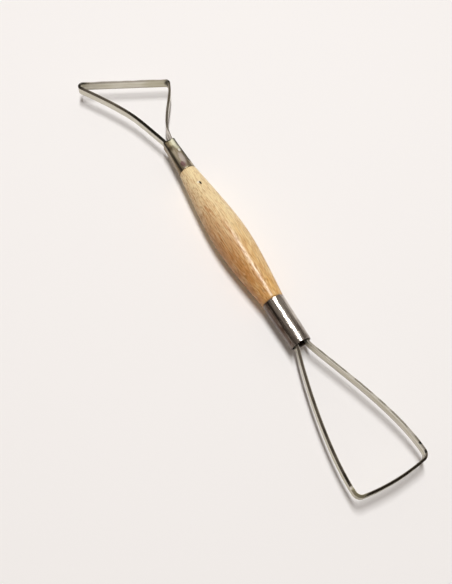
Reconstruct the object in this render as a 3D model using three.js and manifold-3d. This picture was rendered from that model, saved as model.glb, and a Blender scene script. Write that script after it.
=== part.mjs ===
// Double-ended loop tool for trimming clay: a turned wooden handle, a steel
// ferrule on each end, and a loop of bent steel strip held in each ferrule.
//
// Millimetres. The tool lies along X, with its large loop at +X. Both loops lie
// flat in the XY plane, and Z is square to it. The origin is the tool's centroid.

import * as THREE from 'three';
import { mergeVertices } from 'three/addons/utils/BufferGeometryUtils.js';
import Module from 'manifold-3d';

const wasm = await Module();
wasm.setup();

// Fit between wood, steel strip and ferrule
const fitGap = 0.1;

// Turned barrel of the handle
const barrelLength = 83;
const barrelRadius = 9;
const bellyOffset = 3.5; // fattest place, from the middle toward the large loop
const smallSideBend = 0.35; // how long the belly stays round before the side runs straight
const largeSideBend = 0.45;

// Tenons of the handle, each short of its ferrule's mouth by an open recess
const smallTenonLength = 13;
const smallRecess = 7.2;
const largeTenonLength = 17;
const largeRecess = 8.1;
const tenonChamfer = 0.6;

// Steel strip, the same for both loops
const stripWidth = 5.6;
const stripThickness = 1.3;
const mouthBend = 1.2; // run over which a leg turns away from its tail

// Tails of the strips: the space between the two, and how far they lie on the tenon
const smallTailGap = 2.85;
const smallTailGrip = 7;
const largeTailGap = 4.5;
const largeTailGrip = 10;

// Small ferrule: a round tube, pressed to a rounded rectangle round the two strips
const smallFerruleWall = 0.35;
const smallFerruleTaper = 0.4; // how much wider than the strips its round end is
const smallCrimpLength = 4; // parallel stretch at the mouth

// Large ferrule: a tapered round tube
const largeFerruleWall = 0.5;
const largeFerruleTaper = 0.55;
const ferruleEdgeRound = 0.15;

// Small loop: a triangle with a slanted, straight cutting edge. Reach is along X from
// the mouth to a corner, and spread is along Y from the axis to it.
const smallCornerRadius = 1.9;
const smallLeftReach = 58.2;
const smallLeftSpread = 28.2;
const smallRightReach = 35.2;
const smallRightSpread = 18.9;

// Large loop: a long pear with a slightly bowed cutting edge
const largeCornerRadius = 3.3;
const largeReach = 71.7;
const largeLeftSpread = 17.3;
const largeRightSpread = 19.9;
const largeBow = 1.5;

// Facets
const roundFacets = 48;
const barrelRows = 15; // on each side of the belly
const edgeRows = 3;
const curveSteps = 22;
const cornerSteps = 9;
const mergeDistance = 1e-4;

const halfBarrel = barrelLength / 2;
const halfStrip = stripWidth / 2;

// How far from the axis the strips' outer corners lie, with the tails this far apart
function stripReach(tailGap) {
  return Math.hypot(tailGap / 2 + stripThickness, halfStrip);
}

// Each ferrule's section runs from a circle at the wood to a rounded rectangle at
// its mouth: four corner arcs, moved apart by the flats between them. The small
// mouth is pressed close round the strips, and the large one stays round.
const pressedCorner = 2 * fitGap;
const smallFerrule = {
  side: -1,
  length: smallTenonLength + smallRecess,
  radius: stripReach(smallTailGap) + smallFerruleTaper + smallFerruleWall,
  wall: smallFerruleWall,
  crimp: smallCrimpLength,
  corner: pressedCorner + smallFerruleWall,
  flatY: smallTailGap / 2 + stripThickness + fitGap - pressedCorner,
  flatZ: halfStrip + fitGap - pressedCorner,
  tenonLength: smallTenonLength,
  tailGap: smallTailGap,
  tailDepth: smallRecess + smallTailGrip,
};
const largeFerrule = {
  side: 1,
  length: largeTenonLength + largeRecess,
  radius: stripReach(largeTailGap) + largeFerruleTaper + largeFerruleWall,
  wall: largeFerruleWall,
  crimp: 0,
  corner: stripReach(largeTailGap) + fitGap + largeFerruleWall,
  flatY: 0,
  flatZ: 0,
  tenonLength: largeTenonLength,
  tailGap: largeTailGap,
  tailDepth: largeRecess + largeTailGrip,
};

// A leg runs from its tail, through a bend at the mouth, to its corner. Angles open
// away from the tool's axis, and a hold is the share of the leg over which its curve
// keeps to that direction.
const smallLoop = {
  ferrule: smallFerrule,
  cornerRadius: smallCornerRadius,
  bow: 0,
  left: {
    reach: smallLeftReach,
    spread: smallLeftSpread,
    leaveAngle: 16,
    leaveHold: 0.36,
    arriveAngle: 32,
    arriveHold: 0.59,
  },
  right: {
    reach: smallRightReach,
    spread: smallRightSpread,
    leaveAngle: 5,
    leaveHold: 0.33,
    arriveAngle: 20,
    arriveHold: 0.31,
  },
};
const largeLoop = {
  ferrule: largeFerrule,
  cornerRadius: largeCornerRadius,
  bow: largeBow,
  left: {
    reach: largeReach,
    spread: largeLeftSpread,
    leaveAngle: 20,
    leaveHold: 0.23,
    arriveAngle: 0,
    arriveHold: 0.31,
  },
  right: {
    reach: largeReach,
    spread: largeRightSpread,
    leaveAngle: 17,
    leaveHold: 0.28,
    arriveAngle: 0,
    arriveHold: 0.31,
  },
};

// How far the section has changed toward the mouth's, at a place along the tool
function pinchAt(ferrule, x) {
  const pastWood = ferrule.side * x - halfBarrel;
  const run = ferrule.length - ferrule.crimp;
  return THREE.MathUtils.clamp(pastWood / run, 0, 1);
}

// Turns a profile of (radius, place along X) points about the X axis. Stretches
// inside a ferrule take that ferrule's section, and the facets are set half a
// step round, so that each flat lies between two lines of points.
function turned(profile) {
  const geometry = new THREE.LatheGeometry(profile, roundFacets, Math.PI / roundFacets);
  const position = geometry.attributes.position;
  for (let i = 0; i < position.count; i += 1) {
    const x = position.getY(i);
    const radius = Math.hypot(position.getX(i), position.getZ(i));
    const angle = Math.atan2(position.getX(i), position.getZ(i));
    const ferrule = x < 0 ? smallFerrule : largeFerrule;
    const pinch = radius > 0 ? pinchAt(ferrule, x) : 0;
    const corner = radius - pinch * (ferrule.radius - ferrule.corner);
    const y = corner * Math.cos(angle) + pinch * ferrule.flatY * Math.sign(Math.cos(angle));
    const z = corner * Math.sin(angle) + pinch * ferrule.flatZ * Math.sign(Math.sin(angle));
    position.setXYZ(i, x, y, z);
  }
  return closed(geometry);
}

// Joins shared vertices and drops the triangles that have no area at the axis
function closed(geometry) {
  geometry.deleteAttribute('normal');
  geometry.deleteAttribute('uv');
  const merged = mergeVertices(geometry, mergeDistance);
  const source = merged.index.array;
  const kept = [];
  for (let i = 0; i < source.length; i += 3) {
    const [a, b, c] = [source[i], source[i + 1], source[i + 2]];
    if (a !== b && b !== c && c !== a) kept.push(a, b, c);
  }
  merged.setIndex(kept);
  return merged;
}

function toManifold(geometry) {
  const vertProperties = new Float32Array(geometry.attributes.position.array);
  const triVerts = new Uint32Array(geometry.index.array);
  return new wasm.Manifold(new wasm.Mesh({ numProp: 3, vertProperties, triVerts }));
}

function fromManifold(solid) {
  const mesh = solid.getMesh();
  const geometry = new THREE.BufferGeometry();
  geometry.setAttribute('position', new THREE.BufferAttribute(mesh.vertProperties, 3));
  geometry.setIndex(new THREE.BufferAttribute(mesh.triVerts, 1));
  geometry.computeVertexNormals();
  return geometry;
}

function piece(name, geometry, material) {
  const mesh = new THREE.Mesh(geometry, material);
  mesh.name = name;
  return mesh;
}

// Materials

// Pale turned hardwood under a thin satin varnish
function hardwood() {
  return new THREE.MeshStandardMaterial({ color: '#d8b07c', roughness: 0.5, metalness: 0 });
}

// Drawn steel tube, polished bright
function ferruleSteel() {
  return new THREE.MeshStandardMaterial({ color: '#b4aea2', roughness: 0.25, metalness: 1 });
}

// Rolled steel strip with a satin face
function stripSteel() {
  return new THREE.MeshStandardMaterial({ color: '#b9b2a6', roughness: 0.35, metalness: 1 });
}

// Handle

// The barrel's side is a hyperbola: round at the belly, nearly straight toward the
// ferrule, and flush with the ferrule at its end
function barrelRadiusAt(x) {
  const ferrule = x < bellyOffset ? smallFerrule : largeFerrule;
  const bend = x < bellyOffset ? smallSideBend : largeSideBend;
  const run = Math.abs(ferrule.side * halfBarrel - bellyOffset);
  const share = Math.abs(x - bellyOffset) / run;
  const fall = (Math.hypot(bend, share) - bend) / (Math.hypot(bend, 1) - bend);
  return barrelRadius - (barrelRadius - ferrule.radius) * fall;
}

// Profile of one end, from the tenon's tip on the axis to the barrel's rounded edge,
// which is softened by half the ferrule's wall
function endProfile(ferrule) {
  const tip = halfBarrel + ferrule.tenonLength;
  const radius = ferrule.radius - ferrule.wall - fitGap;
  const edgeRound = ferrule.wall / 2;
  const edgeStart = halfBarrel - edgeRound;
  const points = [
    [0, tip],
    [radius - tenonChamfer, tip],
    [radius, tip - tenonChamfer],
    [radius, halfBarrel],
  ];
  for (let row = 0; row <= edgeRows; row += 1) {
    const angle = (Math.PI / 2) * (1 - row / edgeRows);
    const drop = edgeRound * (1 - Math.cos(angle));
    points.push([ferrule.radius - drop, edgeStart + edgeRound * Math.sin(angle)]);
  }
  return points.map(([r, x]) => new THREE.Vector2(r, ferrule.side * x));
}

function barrelProfile() {
  const points = [];
  for (let row = 1 - barrelRows; row < barrelRows; row += 1) {
    const end = Math.sign(row) * halfBarrel;
    const x = THREE.MathUtils.lerp(bellyOffset, end, Math.abs(row) / barrelRows);
    points.push(new THREE.Vector2(barrelRadiusAt(x), x));
  }
  return points;
}

// Cuts a flat on each side of a tenon, for the loop's two tails to lie on
function cutTailFlats(solid, ferrule) {
  const tailEnd = halfBarrel + ferrule.length - ferrule.tailDepth - fitGap;
  const flat = ferrule.tailGap / 2 - fitGap;
  const { length, radius } = ferrule;
  const rightAcross = 2 * barrelRadius;
  for (const side of [-1, 1]) {
    const box = new THREE.BoxGeometry(length, radius, rightAcross);
    box.translate(ferrule.side * (tailEnd + length / 2), side * (flat + radius / 2), 0);
    solid = solid.subtract(toManifold(closed(box)));
  }
  return solid;
}

function handlePiece() {
  const profile = [
    ...endProfile(smallFerrule),
    ...barrelProfile(),
    ...endProfile(largeFerrule).reverse(),
  ];
  let solid = toManifold(turned(profile));
  solid = cutTailFlats(solid, smallFerrule);
  solid = cutTailFlats(solid, largeFerrule);
  return piece('handle', fromManifold(solid), hardwood());
}

// Ferrules

// A tube with softened outer edges, and with a ring of points where its crimp starts
function tube(ferrule) {
  const start = halfBarrel + fitGap;
  const mouth = halfBarrel + ferrule.length;
  const crimpStart = ferrule.crimp > 0 ? [mouth - ferrule.crimp] : [];
  const outer = ferrule.radius;
  const inner = ferrule.radius - ferrule.wall;
  const points = [
    [inner, start],
    [outer - ferruleEdgeRound, start],
    [outer, start + ferruleEdgeRound],
    ...crimpStart.map((x) => [outer, x]),
    [outer, mouth - ferruleEdgeRound],
    [outer - ferruleEdgeRound, mouth],
    [inner, mouth],
    ...crimpStart.map((x) => [inner, x]),
    [inner, start],
  ];
  const profile = points.map(([r, x]) => new THREE.Vector2(r, ferrule.side * x));
  if (ferrule.side < 0) profile.reverse();
  const geometry = turned(profile);
  geometry.computeVertexNormals();
  return geometry;
}

function smallFerrulePiece() {
  return piece('small_ferrule', tube(smallFerrule), ferruleSteel());
}

function largeFerrulePiece() {
  return piece('large_ferrule', tube(largeFerrule), ferruleSteel());
}

// Loops

function headingFrom(degrees, side) {
  const angle = THREE.MathUtils.degToRad(degrees);
  return new THREE.Vector2(Math.cos(angle), side * Math.sin(angle));
}

// Arc that rounds a corner of the centreline, from the leg round toward a point that
// the base sets out for
function cornerArc(loop, corner, arriving, baseAim) {
  const leaving = baseAim.clone().sub(corner).normalize();
  const turn = Math.acos(arriving.dot(leaving));
  const side = Math.sign(arriving.cross(leaving));
  const trim = loop.cornerRadius * Math.tan(turn / 2);
  const start = corner.clone().addScaledVector(arriving, -trim);
  const inward = new THREE.Vector2(-side * arriving.y, side * arriving.x);
  const centre = start.clone().addScaledVector(inward, loop.cornerRadius);
  const points = [];
  for (let step = 0; step <= cornerSteps; step += 1) {
    points.push(start.clone().rotateAround(centre, (side * turn * step) / cornerSteps));
  }
  return points;
}

// Centreline of one leg, from its tail to the last point before its corner
function legPoints(leg, side, ferrule, legEnd) {
  const offset = side * (ferrule.tailGap + stripThickness) / 2;
  const leaving = headingFrom(leg.leaveAngle, side);
  const arriving = headingFrom(leg.arriveAngle, side);
  const bend = new THREE.Vector2(mouthBend, offset);
  const start = bend.clone().addScaledVector(leaving, mouthBend);
  const length = start.distanceTo(legEnd);
  const first = start.clone().addScaledVector(leaving, leg.leaveHold * length);
  const last = legEnd.clone().addScaledVector(arriving, -leg.arriveHold * length);
  const path = new THREE.Path();
  path.moveTo(-ferrule.tailDepth, offset);
  path.lineTo(0, offset);
  path.quadraticCurveTo(bend.x, bend.y, start.x, start.y);
  path.bezierCurveTo(first.x, first.y, last.x, last.y, legEnd.x, legEnd.y);
  return path.getPoints(curveSteps).slice(0, -1);
}

// Moves a line of points sideways by a distance, keeping its corners mitred
function offsetLine(points, distance) {
  return points.map((point, i) => {
    const before = point.clone().sub(points[Math.max(i - 1, 0)]);
    const after = points[Math.min(i + 1, points.length - 1)].clone().sub(point);
    if (i === 0) before.copy(after);
    if (i === points.length - 1) after.copy(before);
    const along = before.normalize().clone().add(after.normalize()).normalize();
    const across = new THREE.Vector2(-along.y, along.x);
    return point.clone().addScaledVector(across, distance / along.dot(after));
  });
}

// Centreline of a whole loop, as seen with the mouth at x = 0 and the loop at +x
function loopCentreline(loop) {
  const left = new THREE.Vector2(loop.left.reach, -loop.left.spread);
  const right = new THREE.Vector2(loop.right.reach, loop.right.spread);
  const across = right.clone().sub(left).normalize();
  const outward = new THREE.Vector2(across.y, -across.x);
  const bowPoint = left.clone().lerp(right, 0.5).addScaledVector(outward, 2 * loop.bow);
  const leftArc = cornerArc(loop, left, headingFrom(loop.left.arriveAngle, -1), bowPoint);
  const rightArc = cornerArc(loop, right, headingFrom(loop.right.arriveAngle, 1), bowPoint);
  const base = new THREE.QuadraticBezierCurve(leftArc.at(-1), bowPoint, rightArc.at(-1));
  const basePoints = loop.bow > 0 ? base.getPoints(curveSteps).slice(1, -1) : [];
  return [
    ...legPoints(loop.left, -1, loop.ferrule, leftArc[0]),
    ...leftArc,
    ...basePoints,
    ...rightArc.toReversed(),
    ...legPoints(loop.right, 1, loop.ferrule, rightArc[0]).reverse(),
  ];
}

// The strip stands on edge along the centreline, with its width along Z
function bentStrip(loop) {
  const centreline = loopCentreline(loop);
  const outline = [
    ...offsetLine(centreline, stripThickness / 2),
    ...offsetLine(centreline, -stripThickness / 2).reverse(),
  ];
  const { side, length } = loop.ferrule;
  const mouth = halfBarrel + length;
  const placed = outline.map((point) => new THREE.Vector2(side * (mouth + point.x), point.y));
  const geometry = new THREE.ExtrudeGeometry(new THREE.Shape(placed), {
    depth: stripWidth,
    bevelEnabled: false,
  });
  geometry.translate(0, 0, -halfStrip);
  return geometry;
}

function smallLoopPiece() {
  return piece('small_loop', bentStrip(smallLoop), stripSteel());
}

function largeLoopPiece() {
  return piece('large_loop', bentStrip(largeLoop), stripSteel());
}

// Place of the centroid along X, by summing a signed tetrahedron for each triangle
function centroidX(meshes) {
  let volume = 0;
  let moment = 0;
  for (const mesh of meshes) {
    const flat = mesh.geometry.index ? mesh.geometry.toNonIndexed() : mesh.geometry;
    const position = flat.attributes.position;
    for (let i = 0; i < position.count; i += 3) {
      const corners = [0, 1, 2].map((k) => new THREE.Vector3().fromBufferAttribute(position, i + k));
      const [a, b, c] = corners;
      const tetrahedron = b.clone().cross(c).dot(a) / 6;
      volume += tetrahedron;
      moment += (tetrahedron * (a.x + b.x + c.x)) / 4;
    }
  }
  return moment / volume;
}

const tool = new THREE.Group();
tool.add(
  handlePiece(),
  smallFerrulePiece(),
  largeFerrulePiece(),
  smallLoopPiece(),
  largeLoopPiece(),
);
tool.position.x = -centroidX(tool.children);

const object = new THREE.Group();
object.add(tool);

export default object;
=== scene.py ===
"""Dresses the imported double-ended loop tool: a turned hardwood handle, two steel ferrules
and two loops of bent steel strip, on a pale floor.

Every length is in metres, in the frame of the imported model: the tool lies along X with its
large loop at +X, both loops lie flat in the XY plane, and Z is square to them.
"""

import math

import bpy
import numpy as np
from bpy.props import FloatProperty, FloatVectorProperty, PointerProperty
from mathutils import Matrix, Vector


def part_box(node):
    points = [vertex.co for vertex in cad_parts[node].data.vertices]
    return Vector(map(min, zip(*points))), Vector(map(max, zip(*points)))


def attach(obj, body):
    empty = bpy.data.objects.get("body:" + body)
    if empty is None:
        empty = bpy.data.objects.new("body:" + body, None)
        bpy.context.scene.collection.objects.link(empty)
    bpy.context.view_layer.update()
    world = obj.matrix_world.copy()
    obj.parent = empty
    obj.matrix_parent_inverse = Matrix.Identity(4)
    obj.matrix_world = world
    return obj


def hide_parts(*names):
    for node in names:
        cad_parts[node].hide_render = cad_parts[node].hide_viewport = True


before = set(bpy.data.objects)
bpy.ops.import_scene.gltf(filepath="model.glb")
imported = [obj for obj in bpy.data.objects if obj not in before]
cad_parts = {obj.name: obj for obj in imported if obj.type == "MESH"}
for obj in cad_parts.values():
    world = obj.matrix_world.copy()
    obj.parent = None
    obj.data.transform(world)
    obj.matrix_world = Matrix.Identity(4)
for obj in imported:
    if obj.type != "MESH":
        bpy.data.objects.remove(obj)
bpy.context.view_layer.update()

bl_info = {
    "name": "Loop tool dresser",
    "version": (1, 0, 0),
    "blender": (4, 5, 0),
    "location": "3D View > Sidebar > Loop tool",
    "description": "Builds the visible surfaces of a double-ended loop tool",
    "category": "Object",
}

BODY = "root"
MILLIMETRE = 0.001
SENSOR_WIDTH = 36


# How finely the surfaces are stepped

BARREL_ROWS = 320
ROUND_COLUMNS = 208
PIT_CROWD = 5
PIT_CROWD_TURN = 0.3
CROWD_DETAIL = 20
FERRULE_ROWS = 110
FERRULE_COLUMNS = 160
LIP_ROWS = 9
ARC_STEPS = 40
CURVE_STEPS = 200
EDGE_STEPS = 5
EDGE_LEAD = 1.6
STRIP_SPACING = 0.3 * MILLIMETRE


# Uneven work: periods of slow waves in metres, with their phases, and how much they change

TURNING_WAVES = (0.0091, 0.0053, 0.0031, 0.0017), (0.4, 2.1, 4.4, 1.3)
SANDING_WAVES = (0.017, 0.0113), (1.9, 0.2)
SANDING_DRIFT = 0.004
UPPER_BEVEL_WAVES = (0.0193, 0.0117, 0.0071), (0.3, 1.7, 3.9)
LOWER_BEVEL_WAVES = (0.0211, 0.0127, 0.0067), (2.3, 0.7, 5.1)
BEVEL_WAVER = 0.2


# Properties

def maker(kind, convert=lambda value: value, **settings):
    """A function that makes properties of one kind from a name, a description and a default."""
    def make(name, description, default):
        return kind(name=name, description=description, default=convert(default), **settings)
    return make


length = maker(FloatProperty, lambda value: value * MILLIMETRE, unit="LENGTH", precision=5)
angle = maker(FloatProperty, math.radians, subtype="ANGLE")
share = maker(FloatProperty, min=0, max=1, subtype="FACTOR")
watts = maker(FloatProperty, min=0)
location = maker(FloatVectorProperty, size=3, subtype="TRANSLATION")
direction = maker(FloatVectorProperty, size=3, subtype="DIRECTION")
rectangle = maker(FloatVectorProperty, size=2, min=0, unit="LENGTH")
colour = maker(FloatVectorProperty, size=3, min=0, max=1, subtype="COLOR")


def properties(table, prefix="", **defaults):
    """Properties by name, from a table of kinds and descriptions, and a default for each."""
    return {
        prefix + name: kind((prefix + name).replace("_", " ").capitalize(), text, defaults[name])
        for name, (kind, text) in table.items()
    }


END_SIZES = {
    "tenon_length": (length, "Wood inside the ferrule"),
    "recess": (length, "From the tenon's end to the ferrule's mouth"),
    "tail_gap": (length, "Space between the strip's two tails"),
    "tail_grip": (length, "How far the tails lie on the tenon"),
    "wall": (length, "Wall of the ferrule"),
    "taper": (length, "How much wider than the strips the ferrule's round end is"),
    "crimp_length": (length, "Pressed parallel stretch at the mouth"),
    "corner_radius": (length, "Of the strip's middle line at its two corners"),
    "bow": (length, "How far the cutting edge bulges outward"),
}
LEG_SIZES = {
    "reach": (length, "Along X from the mouth to the leg's corner"),
    "spread": (length, "Along Y from the axis to the leg's corner"),
    "leave": (angle, "Opening of the leg at the mouth"),
    "leave_hold": (share, "Share of the leg that keeps that direction"),
    "arrive": (angle, "Opening of the leg at its corner"),
    "arrive_hold": (share, "Share of the leg that keeps that direction"),
}
LIGHT_SIZES = {
    "place": (location, "Where the soft light stands"),
    "size": (rectangle, "Its two sides"),
    "power": (watts, "Its watts"),
}


class HandleSizes(bpy.types.PropertyGroup):
    """Sizes of the turned handle"""

    barrel_length: length("Barrel length", "Wood that shows between the two ferrules", 83)
    barrel_radius: length("Barrel radius", "Radius at the belly", 8.98)
    belly_offset: length("Belly offset", "From the barrel's middle toward the large loop", 3.5)
    small_side_bend: share("Small side bend", "How far the belly's round runs to -X", 0.35)
    large_side_bend: share("Large side bend", "How far the belly's round runs to +X", 0.45)
    fit_gap: length("Fit gap", "Clearance between wood, strip and ferrule", 0.1)
    end_round: length("End round", "Softening of the wood's edge beside each ferrule", 0.28)
    turning_mark: length("Turning mark", "Depth of the waves left by turning and sanding", 0.022)
    pit_from_middle: length("Pit place", "From the barrel's middle to the pit in the wood", -29.7)
    pit_turn: angle("Pit turn", "Round the handle from +Z toward +Y", 6.7)
    pit_length: length("Pit length", "Length of the pit along the grain", 2.9)
    pit_width: length("Pit width", "Width of the pit", 1.15)
    pit_depth: length("Pit depth", "Depth of the pit", 0.45)


class StripSizes(bpy.types.PropertyGroup):
    """Sizes of the steel strip that both loops are bent from"""

    width: length("Width", "Width of the strip, along Z", 5.6)
    thickness: length("Thickness", "Thickness of the strip", 1.3)
    mouth_bend: length("Mouth bend", "Run over which a leg turns away from its tail", 1.2)
    crest: length("Crest", "Width of the flat that is left between bevel and inner face", 0.1)
    bevel_drop: length("Bevel drop", "How far the ground bevel falls toward the outer face", 0.8)
    corner_soft: length("Corner softening", "Softening of the strip's edges", 0.025)


class SmallEndSizes(bpy.types.PropertyGroup):
    """Sizes of the small ferrule and of the slanted triangle loop in it"""

    __annotations__ = properties(
        END_SIZES, tenon_length=13, recess=7.2, tail_gap=2.85, tail_grip=7, wall=0.35,
        taper=0.4, crimp_length=4, corner_radius=1.9, bow=0,
    ) | properties(
        LEG_SIZES, "left_", reach=58.2, spread=28.2,
        leave=16, leave_hold=0.36, arrive=32, arrive_hold=0.59,
    ) | properties(
        LEG_SIZES, "right_", reach=35.2, spread=18.9,
        leave=5, leave_hold=0.33, arrive=20, arrive_hold=0.31,
    )


class LargeEndSizes(bpy.types.PropertyGroup):
    """Sizes of the large ferrule and of the pear-shaped loop in it"""

    __annotations__ = properties(
        END_SIZES, tenon_length=17, recess=8.1, tail_gap=4.5, tail_grip=10, wall=0.5,
        taper=0.55, crimp_length=0, corner_radius=3.3, bow=1.5,
    ) | properties(
        LEG_SIZES, "left_", reach=71.7, spread=17.3,
        leave=20, leave_hold=0.23, arrive=0, arrive_hold=0.31,
    ) | properties(
        LEG_SIZES, "right_", reach=71.7, spread=19.9,
        leave=17, leave_hold=0.28, arrive=0, arrive_hold=0.31,
    )


class FinishColours(bpy.types.PropertyGroup):
    """Colours of the wood, its varnish, the steel and the floor"""

    wood_pale: colour("Pale wood", "Sapwood toward the small loop", (0.93, 0.79, 0.49))
    wood_warm: colour("Warm wood", "Wood toward the large loop", (0.78, 0.49, 0.18))
    wood_ring: colour("Late wood", "Darker bands of the growth rings", (0.5, 0.2, 0.05))
    # Heartwood colour, also painted shade and warm bounce light on the handle's -Y side
    wood_heart_and_shade: colour("Heartwood", "Warm wood on the side nearer the pith", (0.42, 0.13, 0.026))
    wood_fleck: colour("Flecks", "Short dark flecks along the grain", (0.3, 0.12, 0.03))
    wood_spot: colour("Pale spot", "One pale spot on the barrel", (0.98, 0.93, 0.78))
    wood_pit: colour("Pit", "Dirt in the pit", (0.02, 0.014, 0.01))
    wood_varnish: colour("Varnish", "Tint of the thin varnish", (1.0, 0.94, 0.83))
    ferrule_bright: colour("Bright ferrule", "Polished steel of the large one", (0.64, 0.59, 0.53))
    ferrule_olive: colour("Olive ferrule", "Duller steel of the small one", (0.52, 0.46, 0.34))
    # Brown streaks of the large ferrule, also its painted shade on the -Y side
    ferrule_stain_and_shade: colour("Ferrule stain", "Brown on the large one", (0.08, 0.05, 0.035))
    # Brown streaks of the small ferrule, also its painted shade on the -Y side
    ferrule_brown_stain_and_shade: colour("Brown ferrule", "Stain on the small one", (0.2, 0.135, 0.065))
    # Nearly black: oxide, and painted shade in the small ferrule's dark lines, at its lip and on
    # the strips' rims and corners
    ferrule_oxide_and_shade: colour("Oxide", "Nearly black lines and nicks in steel", (0.02, 0.018, 0.012))
    # Painted highlight: cream on the +Y half of the small mouth's pressed flat
    ferrule_painted_highlight: colour("Cream patch", "Scoured steel at the small mouth", (0.64, 0.62, 0.46))
    ferrule_drab: colour("Drab patch", "Olive beside the scoured steel", (0.32, 0.29, 0.18))
    ferrule_umber: colour("Umber patch", "Dark brown beside the drab one", (0.11, 0.08, 0.042))
    # Painted glint: near-white steel at the crimp's dent
    ferrule_painted_glint: colour("Bright notch", "Bare steel at the crimp's dent", (0.9, 0.9, 0.8))
    ferrule_purple: colour("Heat tint", "Purple tint beside the wood", (0.19, 0.09, 0.1))
    ferrule_violet: colour("Faded tint", "Grey violet beyond the heat tint", (0.66, 0.58, 0.53))
    strip_face: colour("Strip face", "Satin face of the strip", (0.66, 0.63, 0.55))
    # Olive tone: partly oil, partly painted dark reflection, strongest on the large loop
    strip_olive: colour("Strip olive", "Oil-toned patches on the strip", (0.38, 0.34, 0.22))
    # Darker ground bevel, partly oxide and partly painted dark reflection
    strip_rim: colour("Strip rim", "Ground bevel of the strip", (0.38, 0.35, 0.3))
    # Pale colour: wear at the filed nick, and a painted reflection at the small mouth
    strip_wear_and_reflection: colour("Worn strip", "Pale scoured spots on the strip", (0.96, 0.89, 0.82))
    floor: colour("Floor", "Pale floor", (0.93, 0.91, 0.9))
    floor_shade: colour("Floor shade", "Its barely darker tone", (0.8, 0.77, 0.74))


class StageSettings(bpy.types.PropertyGroup):
    """Camera, floor, lights and the studio's tones"""

    camera_place: location("Camera place", "Where the camera stands", (0.15489, -0.10864, 0.344))
    camera_aim: location("Camera aim", "The middle of the picture", (0.02054, -0.01702, 0.0))
    camera_up: direction("Camera up", "What is up in the picture", (-0.7888, 0.443, 0.4261))
    lens: FloatProperty(
        name="Lens", description="Focal length for a sensor 36 mm wide", default=63.74, min=1
    )
    floor_half: length("Floor", "From the floor's middle to its edges", 2500)
    overhead: colour("Overhead", "The studio overhead", (0.25, 0.22, 0.195))
    overhead_dark: colour("Dark overhead", "Its dark side", (0.045, 0.037, 0.03))
    horizon: colour("Horizon", "The studio round the horizon", (0.37, 0.34, 0.31))
    horizon_dark: colour("Dark horizon", "Its dark side", (0.26, 0.21, 0.17))
    __annotations__ |= properties(
        LIGHT_SIZES, "key_", place=(-0.2, 0.1, 1.4), size=(0.12, 0.8), power=16.6
    )
    __annotations__ |= properties(
        LIGHT_SIZES, "side_", place=(0.0, 1.1, 0.24), size=(1.2, 0.3), power=0.18
    )


class ToolSettings(bpy.types.PropertyGroup):
    """All settings of the tool"""

    handle: PointerProperty(type=HandleSizes)
    strip: PointerProperty(type=StripSizes)
    small: PointerProperty(type=SmallEndSizes)
    large: PointerProperty(type=LargeEndSizes)
    colours: PointerProperty(type=FinishColours)
    stage: PointerProperty(type=StageSettings)


# Meshes

def skin(name, rings, loops_back=False, along=None, around=None):
    """A closed skin over rings of points, an array of rings x points x 3.

    Each ring wraps round, and quads join it to the next. The last ring joins the first where
    loops_back is set, and otherwise a fan to the middle of each end ring closes the skin. The
    sign of the enclosed volume says which way round its faces have to be. Along and around,
    one value for each ring and each point, become the UV map named Strip.
    """
    count, width = rings.shape[:2]
    index = np.arange(count * width).reshape(count, width)
    here = index if loops_back else index[:-1]
    after = np.roll(index, -1, axis=0) if loops_back else index[1:]
    beside_here, beside_after = np.roll(here, -1, axis=1), np.roll(after, -1, axis=1)
    quads = np.stack([here, beside_here, beside_after, after], axis=-1).reshape(-1, 4)
    points = rings.reshape(-1, 3)
    fans = np.empty((0, 3), int)
    if not loops_back:
        middles = rings[[0, -1]].mean(axis=1)
        first, last = index[0], index[-1]
        start_fan = np.stack([np.roll(first, -1), first, np.full(width, len(points))], axis=-1)
        end_fan = np.stack([last, np.roll(last, -1), np.full(width, len(points) + 1)], axis=-1)
        points = np.concatenate([points, middles])
        fans = np.concatenate([start_fan, end_fan])
    triangles = np.concatenate([quads[:, :3], quads[:, [0, 2, 3]], fans])
    a, b, c = (points[triangles[:, k]] for k in range(3))
    inside_out = np.einsum("ij,ij->i", a, np.cross(b, c)).sum() < 0
    if inside_out:
        quads, fans = quads[:, ::-1], fans[:, ::-1]
    mesh = bpy.data.meshes.new(name)
    mesh.from_pydata(points.tolist(), [], quads.tolist() + fans.tolist())
    mesh.shade_smooth()
    if along is not None:
        lay_uv(mesh, along, around, inside_out)
    piece = bpy.data.objects.new(name, mesh)
    bpy.context.scene.collection.objects.link(piece)
    return piece


def lay_uv(mesh, along, around, inside_out):
    """Lays the UV map: each corner of a quad takes u from along at its ring and v from around
    at its point. Around has one value more than a ring has points, for the end of the wrap."""
    width = len(around) - 1
    ring, point = np.divmod(np.arange((len(along) - 1) * width)[:, None], width)
    corners = np.stack([along[ring + [0, 0, 1, 1]], around[point + [0, 1, 1, 0]]], axis=-1)
    if inside_out:
        corners = corners[:, ::-1]
    values = np.zeros((len(mesh.loops), 2), np.float32)
    values[: corners.size // 2] = corners.reshape(-1, 2)
    mesh.uv_layers.new(name="Strip").data.foreach_set("uv", values.ravel())


def crowded(start, end, count, centre, reach, crowd):
    """Count values from start to end, crowd times as dense within reach of a centre.

    The density is 1 plus a bell curve, and the values are read off its running sum.
    """
    fine = np.linspace(start, end, CROWD_DETAIL * count)
    density = 1 + crowd * np.exp(-(((fine - centre) / reach) ** 2))
    running = np.concatenate([[0], np.cumsum((density[1:] + density[:-1]) / 2)])
    return np.interp(np.linspace(0, running[-1], count), running, fine)


def waves(place, periods, phases):
    """The mean of sines of a place, one for each period, as a smooth irregular line."""
    terms = [np.sin(2 * np.pi * place / p + q) for p, q in zip(periods, phases)]
    return sum(terms) / len(terms)


# Sections shared by wood and ferrules

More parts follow.
